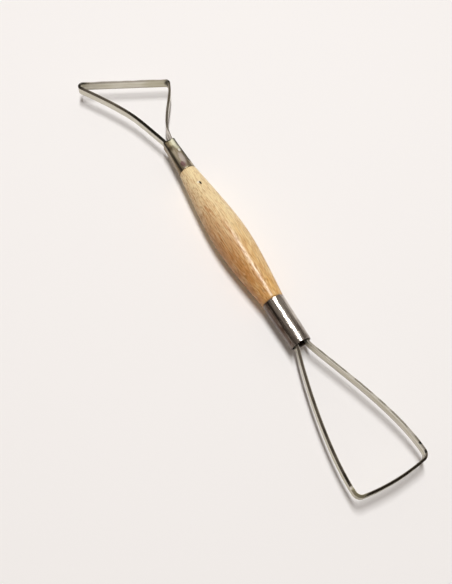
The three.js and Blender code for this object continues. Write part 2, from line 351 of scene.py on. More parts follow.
def sign_of(end):
    """-1 for the small end, which points to -X, and 1 for the large end."""
    return -1 if end.bl_rna.identifier == "SmallEndSizes" else 1


def strip_reach(end, strip):
    """How far from the axis the outer corners of the two tails lie."""
    return math.hypot(end.tail_gap / 2 + strip.thickness, strip.width / 2)


def ferrule_radius(end, strip):
    """Outer radius at the wood: the reach of the tails, the taper and the wall."""
    return strip_reach(end, strip) + end.taper + end.wall


def ferrule_length(end):
    """From the wood's end to the mouth: the tenon and the recess beyond it."""
    return end.tenon_length + end.recess


def barrel_middle():
    """Where the barrel's middle lies along X: half a barrel and a gap from the large ferrule."""
    tool = bpy.context.scene.loop_tool
    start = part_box("large_ferrule")[0].x - tool.handle.fit_gap
    return start - tool.handle.barrel_length / 2


def pressed(end, tool, radius, past_wood, turn):
    """Places on a section that is a circle at the wood and a rounded rectangle at the mouth.

    Radius is a grid, past_wood, the run from the wood's end, is a column, and turn is a row of
    angles from +Z toward +Y. Four corner arcs shrink as the run grows, and are moved apart
    along Y and Z by half the rectangle's flats. The move is steep times the sine or cosine, cut
    off at 1, so that it eases over a few degrees where it changes sign.
    """
    steep = 14
    outer = ferrule_radius(end, tool.strip)
    gap = tool.handle.fit_gap
    if end.crimp_length > 0:
        mouth_corner = 2 * gap + end.wall
        flat_y = end.tail_gap / 2 + tool.strip.thickness - gap
        flat_z = tool.strip.width / 2 - gap
    else:
        mouth_corner = strip_reach(end, tool.strip) + gap + end.wall
        flat_y = flat_z = 0
    run = ferrule_length(end) - end.crimp_length
    pinch = np.clip(past_wood / run, 0, 1)
    corner = radius - pinch * (outer - mouth_corner)
    y = corner * np.sin(turn) + pinch * flat_y * np.clip(steep * np.sin(turn), -1, 1)
    z = corner * np.cos(turn) + pinch * flat_z * np.clip(steep * np.cos(turn), -1, 1)
    return y, z


# Handle

def barrel_radius_at(along, tool):
    """Radius of the barrel's side: a hyperbola, round at the belly and nearly straight toward
    each ferrule, whose radius it has at its end."""
    sizes = tool.handle
    from_belly = along - sizes.belly_offset
    radius = np.empty_like(along)
    for end, bend in ((tool.small, sizes.small_side_bend), (tool.large, sizes.large_side_bend)):
        side = sign_of(end)
        run = sizes.barrel_length / 2 - side * sizes.belly_offset
        part = np.abs(from_belly) / run
        fall = (np.hypot(bend, part) - bend) / (math.hypot(bend, 1) - bend)
        here = side * from_belly >= 0
        end_radius = ferrule_radius(end, tool.strip)
        radius[here] = (sizes.barrel_radius - (sizes.barrel_radius - end_radius) * fall)[here]
    return radius


def handle_profile(tool):
    """Places along X from the barrel's middle, and radii, from one tenon's tip to the other.

    The barrel's rows crowd round the pit. Its edge beside each ferrule is a quarter ellipse
    that falls by half the ferrule's wall. A tenon has a chamfered tip, and two rows a tenth of
    the gap apart, between which the tails' flats begin."""
    sizes = tool.handle
    half = sizes.barrel_length / 2
    tips = []
    for end in (tool.small, tool.large):
        tip = half + end.tenon_length
        inside = ferrule_radius(end, tool.strip) - end.wall - sizes.fit_gap
        chamfer = 6 * sizes.fit_gap
        tail_start = tip - end.tail_grip - sizes.fit_gap
        tips.append((
            np.array([tip, tip, tip - chamfer, tail_start, tail_start - sizes.fit_gap / 10, half]),
            np.array([inside / 2, inside - chamfer, inside, inside, inside, inside]),
        ))
    rows = crowded(-half, half, BARREL_ROWS, sizes.pit_from_middle, 2 * sizes.pit_length, PIT_CROWD)
    edge_fall = np.where(rows < 0, tool.small.wall, tool.large.wall) / 2
    into_round = np.clip(1 - (half - np.abs(rows)) / sizes.end_round, 0, 1)
    radius = barrel_radius_at(rows, tool) - edge_fall * (1 - np.sqrt(1 - into_round**2))
    (small_x, small_r), (large_x, large_r) = tips
    along = np.concatenate([-small_x, rows, large_x[::-1]])
    return along, np.concatenate([small_r, radius, large_r[::-1]])


def handle_rings(tool):
    """The handle as a surface of two parameters, its place along X and its turn about X.

    The profile's radius goes round the section that its place calls for, less waves from
    turning and sanding, less the pit, a bell curve with a flat middle along the grain, and the
    tails' flats cut it off along Y.
    """
    sizes = tool.handle
    half = sizes.barrel_length / 2
    along, radius = handle_profile(tool)
    turn = crowded(-math.pi, math.pi, ROUND_COLUMNS + 1, sizes.pit_turn, PIT_CROWD_TURN, PIT_CROWD)
    along, radius, turn = along[:, None], radius[:, None], turn[None, :-1]
    scale = np.where(np.abs(along) < half, sizes.turning_mark, 0)
    turned = waves(along, *TURNING_WAVES)
    sanded = waves(along + SANDING_DRIFT * np.sin(turn), *SANDING_WAVES)
    radius = radius - scale * (1 + 0.5 * turned + 0.5 * sanded * np.cos(2 * turn + 0.8))
    pit_radius = barrel_radius_at(np.array([sizes.pit_from_middle]), tool)[0]
    across = (turn - sizes.pit_turn) * pit_radius / (sizes.pit_width / 2)
    lengthwise = (along - sizes.pit_from_middle) / (sizes.pit_length / 2)
    radius = radius - sizes.pit_depth * np.exp(-(across**2) - lengthwise**4)
    y = z = np.zeros_like(radius)
    for end in (tool.small, tool.large):
        side = sign_of(end)
        past_wood = side * along - half
        end_y, end_z = pressed(end, tool, radius, past_wood, turn)
        flat = end.tail_gap / 2 - sizes.fit_gap
        on_tails = past_wood > end.tenon_length - end.tail_grip - sizes.fit_gap * 1.05
        end_y = np.where(on_tails, np.clip(end_y, -flat, flat), end_y)
        here = side * along >= 0
        y, z = np.where(here, end_y, y), np.where(here, end_z, z)
    x = np.broadcast_to(along + barrel_middle(), y.shape)
    return np.stack([x, y, z], axis=-1)


# Ferrules

def ferrule_profile(end, tool):
    """A closed line round the wall: runs from the wood's end, and depths below the outer skin.

    Both lips are half circles as wide as the wall."""
    gap = tool.handle.fit_gap
    length_here = ferrule_length(end)
    lip = end.wall / 2
    outer = np.linspace(gap + lip, length_here - lip, FERRULE_ROWS)
    swing = np.linspace(0, math.pi, LIP_ROWS)[1:-1]
    run = np.concatenate([
        outer, length_here - lip + lip * np.sin(swing),
        outer[::-1], gap + lip - lip * np.sin(swing),
    ])
    depth = np.concatenate([
        np.zeros_like(outer), lip * (1 - np.cos(swing)),
        np.full_like(outer, end.wall), lip * (1 + np.cos(swing)),
    ])
    return run[:, None], depth[:, None]


def ferrule_rings(end, tool, dents):
    """A ferrule as a surface of two parameters, its run along the wall and its turn about X.

    Each dent is (run, turn, half length, half width, depth), a bell curve pressed inward."""
    run, depth = ferrule_profile(end, tool)
    turn = np.linspace(-math.pi, math.pi, FERRULE_COLUMNS + 1)[None, :-1]
    outer = ferrule_radius(end, tool.strip)
    radius = outer - depth + np.zeros_like(turn)
    for place, around, half_length, half_width, deep in dents:
        beside = np.angle(np.exp(1j * (turn - around))) * outer / half_width
        radius -= deep * np.exp(-(beside**2) - ((run - place) / half_length) ** 2)
    y, z = pressed(end, tool, radius, run, turn)
    half = tool.handle.barrel_length / 2
    x = np.broadcast_to(barrel_middle() + sign_of(end) * (half + run), y.shape)
    return np.stack([x, y, z], axis=-1)


# Strips

def heading(turned_by, side):
    """The direction +x turned by an angle toward the side's sign of y."""
    return np.array([math.cos(turned_by), side * math.sin(turned_by)])


def bezier(points, count):
    """Points on a Bezier curve: neighbours are mixed by the share t until one point is left."""
    t = np.linspace(0, 1, count)[:, None]
    layers = [np.asarray(p, float) * np.ones_like(t) for p in points]
    while len(layers) > 1:
        layers = [(1 - t) * a + t * b for a, b in zip(layers, layers[1:])]
    return layers[0]


def corner_arc(radius, corner, arriving, aim):
    """An arc that rounds a corner, from the leg's direction to the direction of an aim point.

    It starts before the corner by the radius times the tangent of half the turn, and its start
    goes round its centre as cosine and sine of the swing."""
    leaving = (aim - corner) / np.linalg.norm(aim - corner)
    side = math.copysign(1, arriving[0] * leaving[1] - arriving[1] * leaving[0])
    turned_by = math.acos(float(arriving @ leaving))
    start = corner - arriving * radius * math.tan(turned_by / 2)
    inward = side * np.array([-arriving[1], arriving[0]])
    centre = start + inward * radius
    from_centre = start - centre
    swing = side * np.linspace(0, turned_by, ARC_STEPS)[:, None]
    across = np.array([-from_centre[1], from_centre[0]])
    return centre + from_centre * np.cos(swing) + across * np.sin(swing)


def leg_line(end, strip, side, leg_end):
    """Middle line of a leg: a straight tail, a bend at the mouth and a cubic curve, whose two
    inner points lie ahead of its start and before its end by their shares of its reach."""
    which = "left" if side < 0 else "right"
    leave, leave_hold, arrive, arrive_hold = (
        getattr(end, f"{which}_{size}") for size in ("leave", "leave_hold", "arrive", "arrive_hold")
    )
    offset = side * (end.tail_gap + strip.thickness) / 2
    bend = np.array([strip.mouth_bend, offset])
    start = bend + heading(leave, side) * strip.mouth_bend
    reach = np.linalg.norm(leg_end - start)
    first = start + heading(leave, side) * leave_hold * reach
    last = leg_end - heading(arrive, side) * arrive_hold * reach
    tail = np.array([[-end.recess - end.tail_grip, offset], [0, offset]])
    return np.concatenate([
        tail,
        bezier([tail[1], bend, start], ARC_STEPS)[1:],
        bezier([start, first, last, leg_end], CURVE_STEPS)[1:-1],
    ])


def loop_line(end, strip):
    """Middle line of a whole loop, with the mouth at x = 0 and the loop at +x: out along the
    left leg, round its corner, across the cutting edge, and back along the right leg."""
    left = np.array([end.left_reach, -end.left_spread])
    right = np.array([end.right_reach, end.right_spread])
    across = (right - left) / np.linalg.norm(right - left)
    aim = (left + right) / 2 + 2 * end.bow * np.array([across[1], -across[0]])
    left_arc = corner_arc(end.corner_radius, left, heading(end.left_arrive, -1), aim)
    right_arc = corner_arc(end.corner_radius, right, heading(end.right_arrive, 1), aim)
    return np.concatenate([
        leg_line(end, strip, -1, left_arc[0]),
        left_arc,
        bezier([left_arc[-1], aim, right_arc[-1]], CURVE_STEPS)[1:-1],
        right_arc[::-1],
        leg_line(end, strip, 1, right_arc[0])[::-1],
    ])


def even_line(line, spacing):
    """A line's points set out again at even steps of its length, with that length."""
    steps = np.linalg.norm(np.diff(line, axis=0), axis=1)
    running = np.concatenate([[0], np.cumsum(steps)])
    places = np.linspace(0, running[-1], int(running[-1] / spacing) + 1)
    return places, np.stack([np.interp(places, running, line[:, k]) for k in range(2)], axis=1)


def softened(corners, soft):
    """Rounds the corners of sections, an array of sections x corners x 2.

    Each corner becomes a parabola that touches its two edges at the distance soft, with one
    point further along each edge, so that the flats between them shade flat."""
    before = np.roll(corners, 1, axis=1) - corners
    after = np.roll(corners, -1, axis=1) - corners
    before /= np.linalg.norm(before, axis=2, keepdims=True)
    after /= np.linalg.norm(after, axis=2, keepdims=True)
    start, stop = corners + soft * before, corners + soft * after
    first, middle, last = start[:, :, None], corners[:, :, None], stop[:, :, None]
    t = np.linspace(0, 1, EDGE_STEPS)[:, None]
    arc = (1 - t) ** 2 * first + 2 * t * (1 - t) * middle + t**2 * last
    lead = (corners + EDGE_LEAD * soft * before)[:, :, None]
    trail = (corners + EDGE_LEAD * soft * after)[:, :, None]
    return np.concatenate([lead, arc, trail], axis=2).reshape(len(corners), -1, 2)


def strip_section(places, line, strip, nicks):
    """The strip's section at each place along it, as points of (outward, along Z).

    The inner face is flat, and a ground bevel falls from the crest beside it to the outer face
    on both rims. The bevel's fall wavers along the strip, and a nick, (reach, spread, half
    length, depth), is a bell curve filed into the upper rim where the line passes that point."""
    t, w = strip.thickness / 2, strip.width / 2
    upper, lower = waves(places, *UPPER_BEVEL_WAVES), waves(places, *LOWER_BEVEL_WAVES)
    upper_fall = strip.bevel_drop * (1 + BEVEL_WAVER * upper)
    lower_fall = strip.bevel_drop * (1 + BEVEL_WAVER * lower)
    filed = np.zeros_like(places)
    for reach, spread, half, deep in nicks:
        at = places[np.argmin(np.hypot(line[:, 0] - reach, line[:, 1] - spread))]
        filed += deep * np.exp(-(((places - at) / half) ** 2))
    crest = -t + strip.crest
    outward = np.broadcast_to([-t, crest, t, t, crest, -t], (len(places), 6))
    low, top = np.full_like(places, -w), w - filed
    heights = [low, low, -w + lower_fall, w - upper_fall - filed, top, top]
    corners = np.stack([outward, np.stack(heights, axis=1)], axis=2)
    return softened(corners, strip.corner_soft)


def strip_rings(end, tool, nicks):
    """A strip as a surface of two parameters, the place along its middle line and the place
    round its section, which stands square to that line."""
    places, line = even_line(loop_line(end, tool.strip), STRIP_SPACING)
    ahead = np.gradient(line, axis=0)
    ahead /= np.linalg.norm(ahead, axis=1, keepdims=True)
    outward = np.stack([ahead[:, 1], -ahead[:, 0]], axis=1)
    section = strip_section(places, line, tool.strip, nicks)
    flat = line[:, None, :] + outward[:, None, :] * section[:, :, :1]
    side = sign_of(end)
    mouth = tool.handle.barrel_length / 2 + ferrule_length(end)
    x = barrel_middle() + side * (mouth + flat[:, :, 0])
    rings = np.stack([x, flat[:, :, 1], section[:, :, 1]], axis=-1)
    middle = section[len(section) // 2]
    edges = np.linalg.norm(np.roll(middle, -1, axis=0) - middle, axis=1)
    around = np.concatenate([[0], np.cumsum(edges)])
    return rings, places, around


# Shaders

class Signal:
    """A number in a shader. Arithmetic on it adds the Math nodes that work it out."""

    def __init__(self, shader, socket):
        self.shader = shader
        self.socket = socket

    def maths(self, operation, first, second=0.0):
        return self.shader.node("ShaderNodeMath", {"operation": operation}, {0: first, 1: second})

    def __add__(self, other):
        return self.maths("ADD", self, other)

    def __sub__(self, other):
        return self.maths("SUBTRACT", self, other)

    def __rsub__(self, other):
        return self.maths("SUBTRACT", other, self)

    def __mul__(self, other):
        return self.maths("MULTIPLY", self, other)

    def __pow__(self, other):
        return self.maths("POWER", self, other)

    __radd__ = __add__
    __rmul__ = __mul__

    def size(self):
        return self.maths("ABSOLUTE", self)

    def sine(self):
        return self.maths("SINE", self)

    def step(self, low, high):
        """0 below low, 1 above high and smooth between. High may be the lower one."""
        return self.shader.node(
            "ShaderNodeMapRange", {"interpolation_type": "SMOOTHSTEP"},
            {"Value": self, "From Min": low, "From Max": high},
        )


class Shader:
    """The node tree of a new material or world, with one method that adds any node to it."""

    def __init__(self, block):
        self.block = block
        block.use_nodes = True
        self.tree = block.node_tree
        self.tree.nodes.clear()

    def node(self, kind, settings, sockets, output=0):
        """Adds a node: first its settings, then its sockets' values or links."""
        node = self.tree.nodes.new(kind)
        for name, value in settings.items():
            setattr(node, name, value)
        for key, value in sockets.items():
            socket = node.inputs[key] if isinstance(key, int) else self.named(node, key)
            if isinstance(value, Signal):
                self.tree.links.new(value.socket, socket)
            else:
                socket.default_value = value
        return Signal(self, node.outputs[output]) if node.outputs else None

    @staticmethod
    def named(node, key):
        return next(s for s in node.inputs if key in (s.identifier, s.name) and s.enabled)

    def object_place(self):
        return self.node("ShaderNodeTexCoord", {}, {}, "Object")

    def parts(self, vector, axes="XYZ"):
        """The numbers of a vector along the given axes."""
        return [self.node("ShaderNodeSeparateXYZ", {}, {0: vector}, axis) for axis in axes]

    def vector_maths(self, operation, sockets, output="Vector"):
        return self.node("ShaderNodeVectorMath", {"operation": operation}, sockets, output)

    def noise(self, vector, scale, detail=3.0, roughness=0.5):
        """Noise of about 0.5, on a vector stretched by three scales per metre."""
        stretched = self.node("ShaderNodeMapping", {}, {"Vector": vector, "Scale": scale})
        return self.node(
            "ShaderNodeTexNoise", {},
            {"Vector": stretched, "Scale": 1.0, "Detail": detail, "Roughness": roughness},
        )

    def mix(self, factor, first, second):
        """Colour first where the factor is 0, and second where it is 1."""
        first, second = (c if isinstance(c, Signal) else (*c, 1.0) for c in (first, second))
        return self.node(
            "ShaderNodeMix", {"data_type": "RGBA"},
            {"Factor_Float": factor, "A_Color": first, "B_Color": second}, "Result",
        )

    def spot(self, vector, centre, reach):
        """1 up to half of an ellipsoid's reach from its centre, and 0 beyond the whole reach."""
        away = self.vector_maths("SUBTRACT", {0: vector, 1: centre})
        scaled = self.vector_maths("DIVIDE", {0: away, 1: reach})
        return self.vector_maths("LENGTH", {0: scaled}, "Value").step(1.0, 0.5)

    def marked(self, base, vector, marks):
        """A colour with marks laid over it, each (centre, reach, colour, strength).

        Noise moves their places by up to half a millimetre, which makes their edges ragged."""
        noise = self.node(
            "ShaderNodeTexNoise", {},
            {"Vector": vector, "Scale": 900.0, "Detail": 3.0, "Roughness": 0.6}, "Color",
        )
        middle = self.vector_maths("SUBTRACT", {0: noise, 1: (0.5, 0.5, 0.5)})
        moved = self.vector_maths("SCALE", {0: middle, "Scale": MILLIMETRE})
        ragged = self.vector_maths("ADD", {0: vector, 1: moved})
        for centre, reach, colour_there, strength in marks:
            base = self.mix(self.spot(ragged, centre, reach) * strength, base, colour_there)
        return base

    def shine(self, vector, dull_places):
        """1 where metal is bare, and less at dull places, each (centre, reach, strength)."""
        left = 1.0
        for centre, reach, strength in dull_places:
            left = (1 - self.spot(vector, centre, reach) * strength) * left
        return left

    def bump(self, height, depth):
        sockets = {"Height": height, "Distance": depth, "Strength": 1.0}
        return self.node("ShaderNodeBump", {}, sockets)

    def surface(self, sockets):
        shading = self.node("ShaderNodeBsdfPrincipled", {}, sockets)
        self.node("ShaderNodeOutputMaterial", {}, {"Surface": shading})
        return self.block


def hardwood(colours):
    """Pale close-grained hardwood: growth rings cut by the turned surface, lengthwise bands,
    dark flecks, paler rays and one pale spot. The side nearer the pith, toward -Y, is warmer and
    has stronger flecks; that warmer, darker orange is partly heartwood and partly painted shade
    and warm bounce light. The satin varnish is thinner there and on flecks, and stops at the pit."""
    s = Shader(bpy.data.materials.new("hardwood"))
    place = s.object_place()
    x, y, z = s.parts(place)
    pith_y, pith_z, ring_turn, ring_slant = -0.031, 0.012, 2400, 7
    bends = s.noise(place, (30, 160, 160), detail=2) - 0.5
    from_pith = ((y - pith_y) ** 2 + (z - pith_z) ** 2) ** 0.5 + bends * 0.0024
    ring = (from_pith * ring_turn + x * ring_slant).sine() * 0.5 + 0.5
    bands = s.noise(place, (16, 520, 520))
    clouds = s.noise(place, (60, 130, 130))
    heart_and_shade = (from_pith + (clouds - 0.5) * 0.008).step(0.034, 0.022)
    fine_flecks, long_flecks, rays = (
        s.noise(place, (along, across, across), detail=1).step(0.53, 0.6)
        for along, across in ((280, 2300), (70, 1700), (110, 2100))
    )
    toward_large = (x + (clouds - 0.5) * 0.06).step(-0.038, 0.034)
    base = s.mix(toward_large, colours.wood_pale, colours.wood_warm)
    # Painted shade: the -Y side turns darker and oranger, partly heartwood
    base = s.mix(heart_and_shade * (0.45 + toward_large * 0.5), base, colours.wood_heart_and_shade)
    base = s.mix(ring ** 2 * bands.step(0.3, 0.75) * 0.3, base, colours.wood_ring)
    base = s.mix(bands.step(0.45, 0.8) * 0.18, base, colours.wood_ring)
    base = s.mix(rays * (0.4 - heart_and_shade * 0.25), base, colours.wood_pale)
    long_strength = 0.28 + toward_large * 0.18 + heart_and_shade * 0.32
    fine_strength = 0.24 + toward_large * 0.16 + heart_and_shade * 0.32
    base = s.mix(long_flecks * long_strength, base, colours.wood_ring)
    base = s.mix(fine_flecks * fine_strength, base, colours.wood_fleck)
    spot = ((-0.0363, -0.0002, 0.006), (0.001, 0.001, 0.002), colours.wood_spot, 0.7)
    base = s.marked(base, place, [spot])
    pit = pit_mask(s, x, y, z)
    base = s.mix(pit, base, colours.wood_pit)
    flecks = fine_flecks + long_flecks * 0.6
    return s.surface({
        "Base Color": base,
        "Roughness": 0.5 + flecks * 0.12 + (clouds - 0.5) * 0.2 + pit * 0.3,
        "Specular IOR Level": 0.1,
        "Coat Weight": (0.5 - heart_and_shade * 0.4) * (1 - pit) * (1.15 - flecks * 0.45),
        "Coat Roughness": 0.3,
        "Coat Tint": (*colours.wood_varnish, 1.0),
        "Coat IOR": 1.75,
        "Normal": s.bump(bands * 0.2 - flecks * 0.4 + rays * 0.3, 0.00005),
    })


def pit_mask(s, x, y, z):
    """1 in the pit of the wood and 0 beside it: a step on the sum of the squares of the
    distances along and across, as shares of its half sizes."""
    sizes = bpy.context.scene.loop_tool.handle
    along = (x - (barrel_middle() + sizes.pit_from_middle)) * (2 / sizes.pit_length)
    across = (y * math.cos(sizes.pit_turn) - z * math.sin(sizes.pit_turn)) * (2 / sizes.pit_width)
    near_side = z.step(0, MILLIMETRE)
    return (along**2 + across**2).step(0.95, 0.35) * near_side


def ferrule_steel(colours, name, steel, stain_and_shade, roughness, marks=(), dark_lines=(), dull_places=()):
    """Drawn steel: fine lengthwise scratches, brown staining that runs in lengthwise streaks and,
    partly as painted shade, gathers on the -Y side, small spots, the given marks and dull places,
    and dark lines, each (turn, half width, strength, where it ends along X)."""
    s = Shader(bpy.data.materials.new(name))
    place = s.object_place()
    x, y, z = s.parts(place)
    lines = s.noise(place, (80, 2600, 2600), detail=4, roughness=0.6)
    streaks = s.noise(place, (60, 800, 800))
    blots = s.noise(place, (260, 330, 330), detail=4, roughness=0.6)
    spots = s.noise(place, (1500, 1500, 1500), detail=2).step(0.66, 0.74)
    # Painted shade: the -Y side darkens toward the brown, partly real staining
    stain_and_shade_side = (y + (streaks - 0.5) * 0.005).step(-0.0032, -0.0048)
    stain_and_shade_amount = streaks.step(0.42, 0.6) * 0.4 + lines.step(0.5, 0.62) * 0.35
    stain_and_shade_amount = stain_and_shade_amount + blots.step(0.5, 0.75) * 0.25 + stain_and_shade_side * 0.8
    base = s.mix(stain_and_shade_amount, steel, stain_and_shade)
    base = s.mix(spots * 0.5, base, stain_and_shade)
    base = s.marked(base, place, marks) if marks else base
    # Each dark line paints shade along a corner of the pressed section
    for turn, half_width, strength, stop in dark_lines:
        beside = (y * math.cos(turn) - z * math.sin(turn) + (streaks - 0.5) * half_width).size()
        before_stop = (x + (streaks - 0.5) * 0.002).step(stop + MILLIMETRE, stop - MILLIMETRE)
        on_line = beside.step(half_width, half_width / 3) * z.step(0, MILLIMETRE) * strength
        base = s.mix(on_line * before_stop, base, colours.ferrule_oxide_and_shade)
    shiny = s.shine(place, dull_places)
    return s.surface({
        "Base Color": base,
        "Metallic": shiny,
        "Roughness": roughness + lines * 0.12 + stain_and_shade_amount * 0.06 + spots * 0.2 + (1 - shiny) * 0.2,
        "Normal": s.bump(lines * 1.5 + streaks * 2 + blots * 0.3, 0.00004),
    })


def small_ferrule_steel(colours):
    """Duller steel, brown on its -Y side, partly staining and partly painted shade, with patches
    from dark brown through olive to a cream painted highlight round the mouth, a painted glint at
    the crimp's dent, painted shade at the lip, a heat tint beside the wood and two dark lines of
    painted shade along the pressed corners."""
    # Painted highlight: cream patch on the pressed flat at the mouth, made less metallic so it
    # shows
    painted_highlight_patch = ((-0.0652, 0.002, 0.003), (0.0076, 0.0022, 0.003))
    marks = [
        # Painted shade: brown over the -Y flank, partly real staining
        ((-0.058, -0.0046, 0.0), (0.024, 0.0024, 0.006), colours.ferrule_brown_stain_and_shade, 0.6),
        ((-0.0648, -0.002, 0.0032), (0.006, 0.0022, 0.003), colours.ferrule_umber, 0.9),
        ((-0.065, 0.0008, 0.0032), (0.0056, 0.0022, 0.003), colours.ferrule_drab, 0.8),
        (*painted_highlight_patch, colours.ferrule_painted_highlight, 0.95),
        # Painted glint at the crimp's dent
        ((-0.0593, 0.0018, 0.0036), (0.0012, 0.001, 0.002), colours.ferrule_painted_glint, 0.8),
        ((-0.0505, -0.0008, 0.0042), (0.0026, 0.0016, 0.002), colours.ferrule_purple, 0.85),
        ((-0.0543, 0.0006, 0.004), (0.005, 0.0018, 0.002), colours.ferrule_violet, 0.7),
        # Painted shade: a nearly black band along the small mouth's lip
        ((-0.0676, -0.0012, 0.0034), (0.0012, 0.0032, 0.003), colours.ferrule_oxide_and_shade, 0.95),
    ]
    # Painted shade: dark lines along the small ferrule's pressed corners
    dark_lines = [
        (math.radians(-46), 1.2 * MILLIMETRE, 0.75, -46 * MILLIMETRE),
        (math.radians(47), 1.2 * MILLIMETRE, 0.95, -51 * MILLIMETRE),
    ]
    return ferrule_steel(
        colours, "small_ferrule_steel", colours.ferrule_olive, colours.ferrule_brown_stain_and_shade, 0.27,
        marks, dark_lines, [(*painted_highlight_patch, 0.55)],
    )


def large_ferrule_steel(colours):
    """Bright polished steel with brown streaks."""
    return ferrule_steel(
        colours, "large_ferrule_steel", colours.ferrule_bright, colours.ferrule_stain_and_shade, 0.11
    )


def strip_steel(colours, name, strip, olive, marks, dull_places):
    """Satin rolled strip: fine lengthwise lines and olive bands on its faces, partly oil tone and
    partly painted dark reflection, darker and smoother ground bevels, partly oxide and partly
    painted dark reflection, with rough crests, the given marks, and dull non-metallic spots at the
    given places, each (centre, reach, strength). Olive is how strongly the faces are toned."""
    s = Shader(bpy.data.materials.new(name))
    place = s.node("ShaderNodeUVMap", {"uv_map": "Strip"}, {})
    object_place = s.object_place()
    above = s.parts(object_place, "Z")[0].size()
    lines = s.noise(place, (45, 2100, 1), roughness=0.55)
    bands = s.noise(place, (14, 900, 1), detail=2)
    patches = s.noise(place, (130, 420, 1), detail=4, roughness=0.6)
    top = strip.width / 2
    edge = top - strip.bevel_drop
    rim = above.step(edge - 0.1 * MILLIMETRE, edge + 0.1 * MILLIMETRE)
    crest = above.step(top - 0.14 * MILLIMETRE, top - 0.06 * MILLIMETRE)
    # Olive tone: partly oil, partly painted dark reflection
    oil_and_shade = patches.step(0.35, 0.75) * 0.5 + bands.step(0.42, 0.62) * 0.6
    oil_and_shade = oil_and_shade + lines.step(0.45, 0.65) * 0.4
    base = s.mix(oil_and_shade * olive, colours.strip_face, colours.strip_olive)
    # The bevels take the darker rim colour: partly oxide, partly painted dark reflection
    base = s.mix(rim, base, colours.strip_rim)
    base = s.mix(rim * patches.step(0.5, 0.7) * 0.5, base, colours.strip_olive)
    base = s.marked(base, object_place, marks)
    shiny = s.shine(object_place, dull_places)
    roughness = 0.24 + lines * 0.14 + patches * 0.08 - rim * 0.17 + crest * 0.4
    return s.surface({
        "Base Color": base,
        "Metallic": shiny,
        "Roughness": roughness + (1 - shiny) * 0.3,
        "Normal": s.bump(lines * (1 - rim), 0.000008),
    })


def floor_paint(colours):
    """Matt pale floor with a barely uneven tone."""
    s = Shader(bpy.data.materials.new("floor_paint"))
    tone = s.noise(s.object_place(), (3, 3, 3), detail=2)
    base = s.mix((tone - 0.4) * 0.08, colours.floor, colours.floor_shade)
    return s.surface({"Base Color": base, "Roughness": 0.9, "Specular IOR Level": 0.1})


# Operators

def finish_piece(piece, material, node):
    """Gives a piece its material, hangs it on the body's empty and hides the CAD part that it
    stands for.
    """
    piece.data.materials.append(material)
    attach(piece, BODY)
    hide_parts(node)


class LOOPTOOL_OT_handle(bpy.types.Operator):
    """Turns the hardwood handle with its two tenons and the pit in its side"""

    bl_idname = "loop_tool.handle"
    bl_label = "Handle"

    def execute(self, context):
        tool = context.scene.loop_tool
        piece = skin("turned_handle", handle_rings(tool))
        finish_piece(piece, hardwood(tool.colours), "handle")
        return {"FINISHED"}


class LOOPTOOL_OT_ferrules(bpy.types.Operator):
    """Draws the two steel ferrules: the small one pressed round its strips, the large one round"""

    bl_idname = "loop_tool.ferrules"
    bl_label = "Ferrules"

    def execute(self, context):
        tool = context.scene.loop_tool
        mm = MILLIMETRE
        crimp_dent = ferrule_length(tool.small) - 5.2 * mm
        small_dents = [
            (crimp_dent, math.radians(24), 0.5 * mm, 1.3 * mm, 0.15 * mm),
            (crimp_dent - 3.5 * mm, math.radians(-18), 2.2 * mm, 0.9 * mm, 0.1 * mm),
        ]
        large_dents = [(0.6 * mm, math.radians(50), 0.7 * mm, 0.45 * mm, 0.3 * mm)]
        for end, node, dents, steel in (
            (tool.small, "small_ferrule", small_dents, small_ferrule_steel),
            (tool.large, "large_ferrule", large_dents, large_ferrule_steel),
        ):
            piece = skin(node + "_tube", ferrule_rings(end, tool, dents), loops_back=True)
            finish_piece(piece, steel(tool.colours), node)
        return {"FINISHED"}


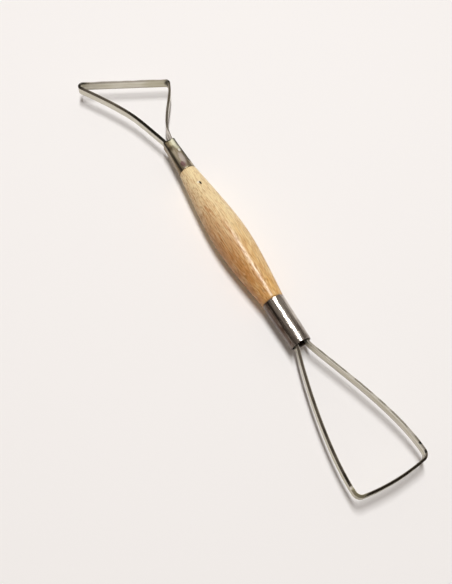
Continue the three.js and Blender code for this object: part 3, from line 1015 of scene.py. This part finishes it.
class LOOPTOOL_OT_loops(bpy.types.Operator):
    """Bends the two steel strips into the slanted triangle and the long pear"""

    bl_idname = "loop_tool.loops"
    bl_label = "Loops"

    def execute(self, context):
        tool = context.scene.loop_tool
        filed_nick = (0.0667, -0.0174, 0.45 * MILLIMETRE, 0.45 * MILLIMETRE)
        olive, dark = tool.colours.strip_olive, tool.colours.ferrule_oxide_and_shade
        pale = tool.colours.strip_wear_and_reflection
        # Painted reflection: pale, less metallic patch on the strips by the small mouth
        pale_reflection_patch = ((-0.0753, 0.0006, 0.0), (0.012, 0.0032, 0.007))
        pale_nick = ((0.1274, -0.0174, 0.0024), (0.0011, 0.0016, 0.0014))
        small_marks = [
            # Painted shade: dark top rim of the left leg near the mouth
            ((-0.0793, -0.006, 0.0028), (0.024, 0.012, 0.0016), dark, 0.85),
            (*pale_reflection_patch, pale, 0.9),
            ((-0.1073, 0.016, 0.0), (0.015, 0.012, 0.006), olive, 0.5),
            # Painted shade: dark inside of the right corner
            ((-0.1023, 0.0188, 0.0008), (0.0034, 0.003, 0.0034), dark, 0.9),
            # Painted shade: dark top rim by the left corner
            ((-0.1228, -0.0235, 0.0028), (0.005, 0.004, 0.0016), dark, 0.8),
        ]
        large_marks = [
            # Painted reflection: paler, face-coloured rims on the large loop's right leg
            ((0.09, 0.015, 0.0028), (0.044, 0.024, 0.0016), tool.colours.strip_face, 0.7),
            (*pale_nick, pale, 0.9),
            ((0.1307, -0.0166, 0.0028), (0.006, 0.006, 0.0016), olive, 0.9),
            ((0.1261, 0.02, 0.0027), (0.001, 0.0016, 0.0012), dark, 1.0),
            ((0.1304, 0.0196, 0.0027), (0.001, 0.0016, 0.0012), dark, 1.0),
        ]
        small_dull = [(*pale_reflection_patch, 0.8)]
        large_dull = [
            (*pale_nick, 0.9),
            ((0.1309, -0.0166, 0.0028), (0.0052, 0.006, 0.0016), 0.4),
        ]
        for end, node, nicks, oil_and_shade, marks, dull in (
            (tool.small, "small_loop", [], 0.45, small_marks, small_dull),
            # The large loop's stronger olive tone partly paints dark reflection
            (tool.large, "large_loop", [filed_nick], 0.8, large_marks, large_dull),
        ):
            name = node + "_strip"
            rings, along, around = strip_rings(end, tool, nicks)
            piece = skin(name, rings, along=along, around=around)
            material = strip_steel(tool.colours, name + "_steel", tool.strip, oil_and_shade, marks, dull)
            finish_piece(piece, material, node)
        return {"FINISHED"}


class LOOPTOOL_OT_stage(bpy.types.Operator):
    """Lays the pale floor, sets the soft lights and the world, and places the camera"""

    bl_idname = "loop_tool.stage"
    bl_label = "Stage"

    def execute(self, context):
        tool = context.scene.loop_tool
        stage = tool.stage
        lay_floor(tool)
        light_world(context.scene, stage)
        place_camera(context.scene, stage)
        soft_light("key", stage.key_place, stage.key_size, stage.key_power)
        soft_light("side", stage.side_place, stage.side_size, stage.side_power)
        context.scene.view_settings.view_transform = "Standard"
        return {"FINISHED"}


def lay_floor(tool):
    """A flat square floor just under the belly of the handle."""
    half, height = tool.stage.floor_half, -tool.handle.barrel_radius
    corners = [(x * half, y * half, height) for x, y in ((-1, -1), (1, -1), (1, 1), (-1, 1))]
    mesh = bpy.data.meshes.new("floor")
    mesh.from_pydata(corners, [], [(0, 1, 2, 3)])
    mesh.materials.append(floor_paint(tool.colours))
    floor = bpy.data.objects.new("floor", mesh)
    bpy.context.scene.collection.objects.link(floor)


def light_world(scene, stage):
    """A plain studio world: darker overhead than round the horizon, and darker again far out
    toward -Y and toward +X."""
    scene.world = bpy.data.worlds.new("studio")
    s = Shader(scene.world)
    x, y, z = s.parts(s.node("ShaderNodeTexCoord", {}, {}, "Generated"))
    dark_side = y.step(-0.68, -0.87) + x.step(0.45, 0.75)
    overhead = s.mix(dark_side, stage.overhead, stage.overhead_dark)
    horizon = s.mix(dark_side, stage.horizon, stage.horizon_dark)
    tone = s.mix(z.step(0.05, 0.28), horizon, overhead)
    background = s.node("ShaderNodeBackground", {}, {"Color": tone, "Strength": 1.0})
    s.node("ShaderNodeOutputWorld", {}, {"Surface": background})


def soft_light(name, place, size, power):
    """A rectangular area light that faces the tool's middle."""
    data = bpy.data.lights.new(name, "AREA")
    data.shape = "RECTANGLE"
    data.size, data.size_y = size
    data.energy = power
    lamp = bpy.data.objects.new(name, data)
    lamp.location = place
    lamp.rotation_euler = (-Vector(place)).to_track_quat("-Z", "Y").to_euler()
    bpy.context.scene.collection.objects.link(lamp)


def place_camera(scene, stage):
    """A camera at its place, looking at its aim, with its up direction up in the picture."""
    data = bpy.data.cameras.new("camera")
    data.sensor_width = SENSOR_WIDTH
    data.sensor_fit = "HORIZONTAL"
    data.lens = stage.lens
    back = (Vector(stage.camera_place) - Vector(stage.camera_aim)).normalized()
    right = Vector(stage.camera_up).cross(back).normalized()
    up = back.cross(right)
    camera = bpy.data.objects.new("camera", data)
    turned = Matrix((right, up, back)).transposed().to_4x4()
    camera.matrix_world = Matrix.Translation(stage.camera_place) @ turned
    scene.collection.objects.link(camera)
    scene.camera = camera


class LOOPTOOL_PT_panel(bpy.types.Panel):
    """Lists the operators that build the tool"""

    bl_label = "Loop tool"
    bl_idname = "LOOPTOOL_PT_panel"
    bl_space_type = "VIEW_3D"
    bl_region_type = "UI"
    bl_category = "Loop tool"

    def draw(self, context):
        for operator in OPERATORS:
            self.layout.operator(operator.bl_idname)


OPERATORS = (LOOPTOOL_OT_stage, LOOPTOOL_OT_handle, LOOPTOOL_OT_ferrules, LOOPTOOL_OT_loops)
CLASSES = (
    HandleSizes, StripSizes, SmallEndSizes, LargeEndSizes, FinishColours, StageSettings,
    ToolSettings, *OPERATORS, LOOPTOOL_PT_panel,
)


def register():
    for cls in CLASSES:
        bpy.utils.register_class(cls)
    bpy.types.Scene.loop_tool = PointerProperty(type=ToolSettings)


def unregister():
    del bpy.types.Scene.loop_tool
    for cls in reversed(CLASSES):
        bpy.utils.unregister_class(cls)


def main():
    """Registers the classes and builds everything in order."""
    register()
    bpy.ops.loop_tool.stage()
    bpy.ops.loop_tool.handle()
    bpy.ops.loop_tool.ferrules()
    bpy.ops.loop_tool.loops()


if __name__ == "__main__":
    main()
